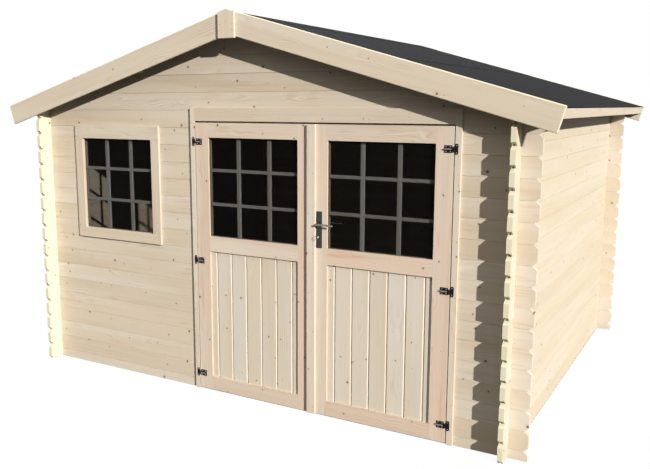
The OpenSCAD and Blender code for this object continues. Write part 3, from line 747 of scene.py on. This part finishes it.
def face_marks(face, name, crossed, through, middle):
    """Changes of tone on a face of a board, and its painted highlight: painted shade on log bevels, painted
    light on the stubs past a crossed wall, and a painted highlight on barge bevels and on the inner faces of
    side walls' stubs.
    """
    changes = []
    painted_highlight = 0.0
    if BEVEL_DOTS[0] < abs(face.normal.dot(through)) < BEVEL_DOTS[1]:
        # Bevels of logs take painted shade, for the shadow in the joints between logs
        if slot_of.get(name) == "log_wood":
            changes.append(BEVEL_PAINTED_SHADE)
        # Bevels of barge boards take a painted highlight, for their sunlit edges
        if "barge" in name:
            painted_highlight = 1.0
    # Stubs past a crossed wall are paler: painted light, for the light bounced onto them from the wall
    # beside them
    if crossed and abs(face.calc_center_median()[crossed[0]]) > crossed[1]:
        changes.append(STUB_PAINTED_LIGHT)
        # Inner faces of the side walls' stubs take a painted highlight, for the glare of the sun on them
        if name in SIDE_WALLS and face.normal.x*middle.x < OUTWARD_DOT*abs(middle.x):
            painted_highlight = 1.0
    return changes, painted_highlight


def paint_grain(mesh, boards, name):
    """Writes each board's grain coordinates, tone with its painted shade and light, end grain and painted
    highlight to the corners of its faces.
    """
    grain_layer = mesh.loops.layers.float_vector.new("grain")
    tone_layer = mesh.loops.layers.float.new("tone")
    end_layer = mesh.loops.layers.float.new("end_grain")
    painted_highlight_layer = mesh.loops.layers.float.new("painted_highlight")
    chance = random.Random(name)
    crossed = crossed_wall(name)
    for faces in boards:
        along, across, through = board_axes(faces)
        corners = [loop.vert.co for face in faces for loop in face.loops]
        middle = sum(corners, Vector())/len(corners)
        shift = Vector([chance.uniform(*limits) for limits in (GRAIN_ALONG, GRAIN_ACROSS, GRAIN_THROUGH)])
        shade = chance.random() + TONE_SHIFTS.get(name, 0.0)
        for face in faces:
            changes, painted_highlight = face_marks(face, name, crossed, through, middle)
            tone = sum(changes, shade)
            end = 1.0 if abs(face.normal.dot(along)) > END_GRAIN_DOT else 0.0
            for loop in face.loops:
                place = loop.vert.co - middle
                spot = Vector((place.dot(along), place.dot(across), place.dot(through)))
                loop[grain_layer] = spot + shift
                loop[tone_layer] = tone
                loop[end_layer] = end
                loop[painted_highlight_layer] = painted_highlight


def widen_grooves(mesh):
    """Widens the V grooves in the front of a door panel and cuts a narrow slit along their bottoms."""
    face_y = min(vert.co.y for vert in mesh.verts)
    grooves = [edge for edge in mesh.edges
               if all(GROOVE_LEAST < vert.co.y - face_y < GROOVE_MOST for vert in edge.verts)]
    places = sorted({round(edge.verts[0].co.x, LENGTH_DIGITS) for edge in grooves})
    for vert in mesh.verts:
        nearest = min(places, key=lambda x: abs(x - vert.co.x))
        off = vert.co.x - nearest
        if abs(off) < GROOVE_MOST and vert.co.y - face_y < GROOVE_MOST:
            if abs(off) < MERGE:
                vert.co.y = face_y + GROOVE_DEPTH
            else:
                vert.co.x = nearest + math.copysign(GROOVE_DEPTH, off)
    cut = bevel(mesh, grooves, SLIT_W/math.sqrt(2), steps=1)
    floors = bmesh.ops.extrude_discrete_faces(mesh, faces=cut["faces"])["faces"]
    floor_verts = list({vert for face in floors for vert in face.verts})
    bmesh.ops.translate(mesh, verts=floor_verts, vec=(0, SLIT_DEPTH, 0))
    mesh.normal_update()


def panel_boards(mesh):
    """Faces of each upright board of a door panel."""
    widen_grooves(mesh)
    xs = [vert.co.x for vert in mesh.verts]
    middle = (min(xs) + max(xs))/2
    boards = {}
    for face in mesh.faces:
        number = round((face.calc_center_median().x - middle)/PANEL_BOARD)
        boards.setdefault(number, []).append(face)
    return [boards[number] for number in sorted(boards)]


def ring_members(mesh):
    """Faces of the four members of a frame, mitred at its corners."""
    low, high = box_round([vert.co for vert in mesh.verts])
    middle = (low + high)/2
    inset = (high.x - low.x - high.z + low.z)/2
    for level in (-1, 1):
        for side in (-1, 1):
            corner = (middle.x + side*(high.x - low.x)/2, middle.y, middle.z + level*(high.z - low.z)/2)
            cut_faces(mesh, corner, Vector((1, 0, -side*level)).normalized())
    mesh.normal_update()
    members = {}
    for face in mesh.faces:
        off = face.calc_center_median() - middle
        beside = abs(off.x) - inset > abs(off.z)
        key = ("side", off.x > 0) if beside else ("level", off.z > 0)
        members.setdefault(key, []).append(face)
    return [members[key] for key in sorted(members)]


def wood_piece(node, edge, split):
    """Wooden piece that stands for a CAD node."""
    name = node + "_wood"
    slot = slot_of[node]
    mesh = merged_copy(node)
    if edge:
        round_edges(mesh, edge)
    if crossed_wall(node):
        cut_stubs(mesh, node)
    paint_grain(mesh, split(mesh), node)
    # The side walls take the darker copy of the log wood, as painted shade against their stronger sun
    finish = finishes["side_log_wood" if node in SIDE_WALLS else slot]
    add_piece(name, as_data(mesh, name), body_of[node], finish, [node])


def plain_piece(node):
    """Metal, glass or felt piece that stands for a CAD node, smooth between its sharp edges."""
    name = node + "_finish"
    slot = slot_of[node]
    mesh = merged_copy(node)
    if slot in ("black_iron", "handle_plate"):
        round_edges(mesh, PLATE_EDGE)
    finish = finishes["bright_steel" if node == "key" else slot]
    add_piece(name, as_data(mesh, name, smooth=True), body_of[node], finish, [node])


def add_solid_pieces():
    """Pieces made from the CAD solids, apart from the roof's boards and felt."""
    splits = {
        "left_door_panel": panel_boards, "right_door_panel": panel_boards, "window_frame": ring_members,
    }
    for node, slot in slot_of.items():
        if node.startswith(("roof_deck", "roof_felt")):
            continue
        if slot not in WOODS:
            plain_piece(node)
        elif node in splits:
            wood_piece(node, 0.0, splits[node])
        else:
            wood_piece(node, BARGE_EDGE if "barge" in node else EDGES[slot], islands)


def geometry_tree(name, inputs):
    """New Geometry Nodes tree with named inputs: returns it with its graph, inputs and output node."""
    tree = bpy.data.node_groups.new(name, "GeometryNodeTree")
    tree.interface.new_socket("Geometry", in_out="OUTPUT", socket_type="NodeSocketGeometry")
    for label, kind in inputs.items():
        tree.interface.new_socket(label, in_out="INPUT", socket_type="NodeSocket" + kind)
    graph = Graph(tree)
    return tree, graph, graph.add("NodeGroupInput").outputs, graph.add("NodeGroupOutput")


def close_tree(g, geometry, material, out):
    """Realizes the instances, sets the material and ends the tree."""
    solid = g.add("GeometryNodeRealizeInstances", {"Geometry": geometry}).outputs[0]
    done = g.add("GeometryNodeSetMaterial", {"Geometry": solid, "Material": material}).outputs[0]
    g.feed(out.inputs[0], done)


def block_row(g, count, start, step, size):
    """Row of blocks of one size, from a start by equal steps."""
    line = g.add("GeometryNodeMeshLine", {"Count": count, "Start Location": start, "Offset": step})
    block = g.add("GeometryNodeMeshCube", {"Size": size})
    inputs = {"Points": line.outputs[0], "Instance": block.outputs["Mesh"]}
    return g.add("GeometryNodeInstanceOnPoints", inputs).outputs[0]


def bars_tree():
    """Upright and level bars that divide an opening into equal panes."""
    tree, g, value, out = geometry_tree("window_bars", {
        "Width": "Float", "Height": "Float", "Columns": "Int", "Rows": "Int", "Upright Width": "Float",
        "Level Width": "Float", "Bar Depth": "Float", "Step": "Float", "Centre": "Vector",
        "Finish": "Material"})
    upright = g.triple(value["Upright Width"], value["Bar Depth"], value["Height"])
    level_depth = g.math("SUBTRACT", value["Bar Depth"], value["Step"])
    level = g.triple(value["Width"], level_depth, value["Level Width"])
    joined = g.add("GeometryNodeJoinGeometry")
    for axis, reach, width, count, size in (("x", "Width", "Upright Width", "Columns", upright),
                                            ("z", "Height", "Level Width", "Rows", level)):
        whole = g.math("ADD", value[reach], value[width])
        spacing = g.math("DIVIDE", whole, value[count])
        first = g.math("ADD", g.times(whole, -0.5), spacing)
        bars = g.math("SUBTRACT", value[count], 1.0)
        row = block_row(g, bars, g.triple(**{axis: first}), g.triple(**{axis: spacing}), size)
        g.feed(joined.inputs[0], row)
    moved = g.add("GeometryNodeTransform", {"Geometry": joined.outputs[0], "Translation": value["Centre"]})
    close_tree(g, moved.outputs[0], value["Finish"], out)
    return tree


def boards_tree():
    """Row of roof boards side by side along Y, laid on a slope."""
    tree, g, value, out = geometry_tree("roof_boards", {
        "Run": "Float", "Length": "Float", "Thickness": "Float", "Count": "Int", "Joint": "Float",
        "Ridge": "Vector", "Turn": "Vector", "Finish": "Material"})
    spacing = g.math("DIVIDE", value["Length"], value["Count"])
    half_run = g.times(value["Run"], 0.5)
    half_thick = g.times(value["Thickness"], 0.5)
    first = g.plus(g.times(value["Length"], -0.5), spacing, 0.5)
    size = g.triple(value["Run"], g.math("SUBTRACT", spacing, value["Joint"]), value["Thickness"])
    row = block_row(g, value["Count"], g.triple(half_run, first, half_thick), g.triple(y=spacing), size)
    laid = g.add("GeometryNodeTransform", {
        "Geometry": row, "Translation": value["Ridge"], "Rotation": value["Turn"]})
    close_tree(g, laid.outputs[0], value["Finish"], out)
    return tree


def heads_tree():
    """A fastener's head on every point, turned to the point's own facing."""
    tree, g, value, out = geometry_tree("fastener_heads", {
        "Points": "Geometry", "Head": "Object", "Size": "Float", "Finish": "Material"})
    facing = g.add("GeometryNodeInputNamedAttribute", {"Name": "facing"}, data_type="FLOAT_VECTOR")
    turned = g.add("FunctionNodeAlignRotationToVector", {"Vector": facing.outputs["Attribute"]}, axis="Z")
    shape = g.add("GeometryNodeObjectInfo", {"Object": value["Head"]}).outputs["Geometry"]
    heads = g.add("GeometryNodeInstanceOnPoints", {
        "Points": value["Points"], "Instance": shape, "Rotation": turned.outputs[0],
        "Scale": g.triple(value["Size"], value["Size"], value["Size"])})
    close_tree(g, heads.outputs[0], value["Finish"], out)
    return tree


def grown(name, tree, values, start=None):
    """Plain mesh data made by a Geometry Nodes tree with these named values."""
    grower = linked(name + "_grower", start or bpy.data.meshes.new(name))
    modifier = grower.modifiers.new("shape", "NODES")
    modifier.node_group = tree
    for item in tree.interface.items_tree:
        if item.in_out == "INPUT" and item.name in values:
            modifier[item.identifier] = values[item.name]
    ready = grower.evaluated_get(bpy.context.evaluated_depsgraph_get())
    data = bpy.data.meshes.new_from_object(ready)
    data.name = name
    grower.modifiers.remove(modifier)
    bpy.data.objects.remove(grower)
    return data


def grained(data, edge, name):
    """Rounds the boards of grown mesh data and writes their grain."""
    mesh = bmesh.new()
    mesh.from_mesh(data)
    mesh.normal_update()
    round_edges(mesh, edge)
    paint_grain(mesh, islands(mesh), name)
    mesh.to_mesh(data)
    mesh.free()
    return data


def head_object(name, radius, height, crossed):
    """Round fastener head that stands on the XY plane, with a cross recess where asked."""
    mesh = bmesh.new()
    arm = CROSS_ARM_SHARE*radius
    half = CROSS_HALF_SHARE*radius
    cross = [(arm, -half), (arm, half), (half, half), (half, arm), (-half, arm), (-half, half),
             (-arm, half), (-arm, -half), (-half, -half), (-half, -arm), (half, -arm), (half, -half)]
    turns = [2*math.pi*i/HEAD_SIDES for i in range(HEAD_SIDES)]
    if crossed:
        turns = [math.atan2(y, x) for x, y in cross]
    foot = [(radius*math.cos(turn), radius*math.sin(turn), 0) for turn in turns]
    rim = [(RIM_SHARE*radius*math.cos(turn), RIM_SHARE*radius*math.sin(turn), height) for turn in turns]
    outlines = [foot, rim]
    if crossed:
        outlines.append([(x, y, height) for x, y in cross])
        outlines.append([(x, y, CROSS_FLOOR_SHARE*height) for x, y in cross])
    rings = [[mesh.verts.new(corner) for corner in outline] for outline in outlines]
    for lower, upper in zip(rings, rings[1:]):
        for i in range(HEAD_SIDES):
            j = (i + 1) % HEAD_SIDES
            mesh.faces.new((lower[i], lower[j], upper[j], upper[i]))
    mesh.faces.new(rings[-1])
    mesh.faces.new(reversed(rings[0]))
    return linked(name, as_data(mesh, name))


def sleeve_object(name, length, radius):
    """Half-round sleeve along X that lies on the XY plane."""
    mesh = bmesh.new()
    turns = [math.pi*i/SLEEVE_SIDES for i in range(SLEEVE_SIDES + 1)]
    ends = [[mesh.verts.new((x, radius*math.cos(turn), radius*math.sin(turn))) for turn in turns]
            for x in (-length/2, length/2)]
    for i in range(len(turns)):
        j = (i + 1) % len(turns)
        mesh.faces.new((ends[0][i], ends[0][j], ends[1][j], ends[1][i]))
    for end in ends:
        mesh.faces.new(end)
    bmesh.ops.recalc_face_normals(mesh, faces=mesh.faces)
    return linked(name, as_data(mesh, name))


def fasteners(name, body, head, places, material):
    """The same head at these places: pairs of a point and the direction that it faces."""
    points = bpy.data.meshes.new(name + "_points")
    points.from_pydata([tuple(place) for place, _ in places], [], [])
    facing = points.attributes.new("facing", "FLOAT_VECTOR", "POINT")
    for item, (_, direction) in zip(facing.data, places):
        item.vector = direction
    data = grown(name, trees["heads"], {"Head": head, "Size": 1.0, "Finish": material}, points)
    add_piece(name, data, body)


def spaced(first, last, count):
    """Evenly spaced points from one to another."""
    first, last = Vector(first), Vector(last)
    return [first.lerp(last, i/(count - 1)) for i in range(count)]


def add_roof_boards():
    """Boards side by side down both slopes."""
    rise = deck_high.z - deck_low.z - (deck_high.x - deck_low.x)*math.tan(pitch)
    thick = rise/math.cos(pitch)
    ridge = Vector((0, 0, deck_high.z - thick/math.cos(pitch)))
    run = (deck_high.x - thick*math.sin(pitch))/math.cos(pitch)
    length = deck_high.y - deck_low.y
    for node, turn in (("roof_deck_right", 0.0), ("roof_deck_left", math.pi)):
        name = node + "_boards"
        data = grown(name, trees["boards"], {
            "Run": run, "Length": length, "Thickness": thick, "Count": round(length/DECK_BOARD),
            "Joint": DECK_JOINT, "Ridge": ridge, "Turn": (0.0, pitch, turn),
            "Finish": finishes["roof_wood"]})
        add_piece(name, grained(data, BOARD_EDGE, name), "shed", stands_for=[node])


def on_slope(side, down, y, off):
    """Point on a slope of the felt: down from the ridge line, along Y, and off the surface."""
    x = down*math.cos(pitch) + off*math.sin(pitch)
    return Vector((side*x, y, felt_high.z - down*math.sin(pitch) + off*math.cos(pitch)))


def add_slope_sheet(name, side, foot, thick):
    """Closed sheet of felt on one slope, from the ridge line down."""
    mesh = bmesh.new()
    corners = [mesh.verts.new(on_slope(side, down, y, off))
               for down in (0.0, foot) for y in (felt_low.y, felt_high.y) for off in (0.0, thick)]
    for face in SHEET_FACES:
        mesh.faces.new([corners[i] for i in face])
    bmesh.ops.recalc_face_normals(mesh, faces=mesh.faces)
    add_piece(name, as_data(mesh, name), "shed", finishes["roof_felt"])


def add_felt():
    """Felt on both slopes: a lower sheet, an upper sheet over it, a strip over the ridge, and tacks."""
    run = felt_high.x/math.cos(pitch)
    lap = run*FELT_LAP_SHARE
    tack_rows = (
        (FELT_RIDGE_W - TACK_INSET, 2*FELT_SHEET, RIDGE_TACKS),
        (lap - TACK_INSET, FELT_SHEET, LAP_TACKS),
        (run - TACK_INSET, 0.0, LAP_TACKS),
    )
    places = []
    for side, word in ((-1, "left"), (1, "right")):
        plain_piece("roof_felt_" + word)
        add_slope_sheet("felt_upper_" + word, side, lap, FELT_SHEET)
        add_slope_sheet("felt_ridge_" + word, side, FELT_RIDGE_W, 2*FELT_SHEET)
        facing = on_slope(side, 0, 0, 1) - on_slope(side, 0, 0, 0)
        for down, off, count in tack_rows:
            first = on_slope(side, down, felt_low.y + TACK_INSET, off)
            last = on_slope(side, down, felt_high.y - TACK_INSET, off)
            places += [(place, facing) for place in spaced(first, last, count)]
    head = head_object("tack_head", TACK_R, TACK_H, crossed=False)
    fasteners("felt_tacks", "shed", head, places, finishes["black_iron"])
    bpy.data.objects.remove(head)


def add_window_bars():
    """Bars behind the panes of the window and the doors."""
    for glass, slot in BARRED_PANES.items():
        low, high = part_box(glass)
        centre = (low + high)/2
        centre.y = high.y + BAR_GAP + BAR_D/2
        name = glass.replace("glass", "bars")
        data = grown(name, trees["bars"], {
            "Width": high.x - low.x - 2*PANE_LAP, "Height": high.z - low.z - 2*PANE_LAP,
            "Columns": PANES, "Rows": PANES, "Upright Width": BAR_UPRIGHT_W, "Level Width": BAR_LEVEL_W,
            "Bar Depth": BAR_D, "Step": BAR_STEP, "Centre": centre, "Finish": finishes["bar_wood"]})
        add_piece(name, grained(data, BAR_EDGE, name), body_of[glass])


def add_hinge_fittings(screw, sleeve):
    """Four screws and a rod sleeve on each hinge of a leaf, two screws on each hinge of a jamb."""
    face_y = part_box("left_door_frame")[0].y - PLATE_LIFT
    for side, word in ((1, "left"), (-1, "right")):
        leaf, rods, jamb = [], [], []
        for low, high in solid_boxes(word + "_leaf_hinges"):
            tip = high.x if side > 0 else low.x
            level = (low.z + high.z)/2
            rod_x = tip - side*(SLEEVE_INSET + SLEEVE_LENGTH/2)
            rods.append((Vector((rod_x, low.y + KNUCKLE_R, level)), FRONT))
            for inset in (LEAF_SCREW_INSET, LEAF_SCREW_INSET + LEAF_SCREW_SPACE):
                for rise in (-LEAF_SCREW_RISE, LEAF_SCREW_RISE):
                    leaf.append((Vector((tip - side*inset, face_y, level + rise)), FRONT))
        for low, high in solid_boxes(word + "_frame_hinges"):
            outer = low.x if side > 0 else high.x
            level = (low.z + high.z)/2
            for rise in (-JAMB_SCREW_RISE, JAMB_SCREW_RISE):
                jamb.append((Vector((outer + side*JAMB_SCREW_INSET, face_y, level + rise)), FRONT))
        fasteners(word + "_leaf_screws", word + "_door", screw, leaf, finishes["bright_steel"])
        fasteners(word + "_rod_sleeves", word + "_door", sleeve, rods, finishes["steel"])
        fasteners(word + "_jamb_screws", "shed", screw, jamb, finishes["bright_steel"])


def strip_nails():
    """Nails in the strip over the meeting line, near one edge and the other by turns."""
    low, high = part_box("meeting_strip")
    places = spaced((0, low.y, low.z + STRIP_NAIL_INSET), (0, low.y, high.z - STRIP_NAIL_INSET), STRIP_NAILS)
    for i, place in enumerate(places):
        place.x = low.x + NAIL_EDGE if i % 2 else high.x - NAIL_EDGE
    return [(place, FRONT) for place in places]


def jamb_nails():
    """Nails up both jambs, near their outer edges."""
    places = []
    for node in ("left_jamb", "right_jamb"):
        low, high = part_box(node)
        x = low.x + JAMB_NAIL_EDGE if node == "left_jamb" else high.x - JAMB_NAIL_EDGE
        places += spaced((x, low.y, JAMB_NAIL_LOW), (x, low.y, JAMB_NAIL_HIGH), JAMB_NAILS)
    return [(place, FRONT) for place in places]


def corner_nails(box, facing, foot, top):
    """Four nails in the front or back of a board: near its sides, and off its foot and top."""
    low, high = box
    y = low.y if facing == FRONT else high.y
    return [(Vector((x, y, z)), facing)
            for x in (low.x + NAIL_EDGE, high.x - NAIL_EDGE) for z in (low.z + foot, high.z - top)]


def add_nails(head):
    """Small nails in the strip, the jambs, the window casing and the ridge covers."""
    fasteners("strip_nails", "right_door", head, strip_nails(), finishes["nail_steel"])
    places = jamb_nails()
    for box in solid_boxes("window_casing"):
        places += corner_nails(box, FRONT, NAIL_EDGE, NAIL_EDGE)
    for node, facing in (("front_ridge_cover", FRONT), ("back_ridge_cover", -FRONT)):
        places += corner_nails(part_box(node), facing, COVER_NAIL_FOOT, COVER_NAIL_TOP)
    fasteners("wall_nails", "shed", head, places, finishes["nail_steel"])


def add_fasteners():
    screw = head_object("screw_head", SCREW_R, SCREW_H, crossed=True)
    nail = head_object("nail_head", NAIL_R, NAIL_H, crossed=False)
    sleeve = sleeve_object("rod_sleeve", SLEEVE_LENGTH, SLEEVE_R)
    add_hinge_fittings(screw, sleeve)
    add_nails(nail)
    for pattern in (screw, nail, sleeve):
        bpy.data.objects.remove(pattern)


def seen_directly(g):
    """One for the camera, also in metal and through glass, and zero for light that falls on the shed."""
    path = g.add("ShaderNodeLightPath").outputs
    by_glass_or_metal = g.math("MAXIMUM", path["Is Glossy Ray"], path["Is Transmission Ray"])
    return g.math("MAXIMUM", path["Is Camera Ray"], by_glass_or_metal)


def floor_material():
    """Pale floor that keeps the shadow, and glows less between the walls as painted shade inside the shed.
    """
    material, g, out = new_material("studio_floor")
    spot = g.add("ShaderNodeSeparateXYZ", {"Vector": g.place()}).outputs
    past_side = g.math("GREATER_THAN", g.math("ABSOLUTE", spot["X"]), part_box("right_wall")[1].x)
    past_back = g.math("GREATER_THAN", g.math("ABSOLUTE", spot["Y"]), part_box("back_wall")[1].y)
    outside = g.math("MAXIMUM", past_side, past_back)
    strength = g.times(seen_directly(g), g.ramp(outside, 0.0, 1.0, INDOOR_PAINTED_SHADE_GLOW, FLOOR_GLOW))
    matt = g.add("ShaderNodeBsdfDiffuse", {"Color": FLOOR_COLOUR})
    glow = g.add("ShaderNodeEmission", {"Color": WHITE, "Strength": strength})
    both = g.fill(g.add("ShaderNodeAddShader"), (matt.outputs[0], glow.outputs[0]))
    g.feed(out.inputs["Surface"], both[0])
    return material


def add_floor():
    mesh = bmesh.new()
    bmesh.ops.create_grid(mesh, x_segments=1, y_segments=1, size=FLOOR_REACH)
    for vert in mesh.verts:
        vert.co.z = cad_box[0][2] - FLOOR_DROP
    floor = linked("floor", as_data(mesh, "floor"))
    floor.data.materials.append(floor_material())


def add_sky():
    """White backdrop for the camera, and a sky that lights the shed from above."""
    world = bpy.data.worlds.new("studio_sky")
    world.use_nodes = True
    world.node_tree.nodes.clear()
    g = Graph(world.node_tree)
    direction = g.add("ShaderNodeTexCoord").outputs["Generated"]
    height = g.add("ShaderNodeSeparateXYZ", {"Vector": direction}).outputs["Z"]
    strength = g.ramp(height, 0.0, 1.0, SKY_LOW, SKY_HIGH)
    sky = g.add("ShaderNodeBackground", {"Color": WHITE, "Strength": strength})
    backdrop = g.add("ShaderNodeBackground", {"Color": WHITE, "Strength": BACKDROP})
    inputs = (seen_directly(g), sky.outputs[0], backdrop.outputs[0])
    mixed = g.fill(g.add("ShaderNodeMixShader"), inputs)
    g.add("ShaderNodeOutputWorld", {"Surface": mixed[0]})
    bpy.context.scene.world = world


def add_lamps():
    for name, (towards, strength, spread) in LAMPS.items():
        light = bpy.data.lights.new(name, "SUN")
        light.energy = strength
        light.angle = spread
        light.cycles.max_bounces = LAMP_BOUNCES
        lamp = linked(name, light)
        lamp.rotation_euler = Vector(towards).to_track_quat("Z", "Y").to_euler()


def add_camera():
    lens = bpy.data.cameras.new("camera")
    lens.sensor_width = SENSOR_W
    lens.lens = FOCAL_PX*SENSOR_W/PICTURE_W
    lens.shift_x = (PICTURE_W/2 - OPTIC_AXIS_PX[0])/PICTURE_W
    lens.shift_y = (OPTIC_AXIS_PX[1] - PICTURE_H/2)/PICTURE_W
    camera = linked("camera", lens)
    camera.location = CAMERA_PLACE
    camera.rotation_euler = (math.pi/2 - CAMERA_DIP, 0.0, CAMERA_TURN)
    bpy.context.scene.camera = camera


# Finishes, and the trees for what repeats
pine = pine_group()
speckle = speckle_group()
finishes = {name: wood_material(name, pine) for name in WOODS}
for name, look in SPECKLED.items():
    finishes[name] = speckled_material(name, speckle, **look)
finishes["glass"] = glass_material()
trees = {"bars": bars_tree(), "boards": boards_tree(), "heads": heads_tree()}

# The shed
add_solid_pieces()
add_roof_boards()
add_felt()
add_window_bars()
add_fasteners()

# Floor, light and camera
add_floor()
add_sky()
add_lamps()
add_camera()
bpy.context.scene.view_settings.view_transform = "Standard"

# Bring the scene up to date
bpy.context.view_layer.update()
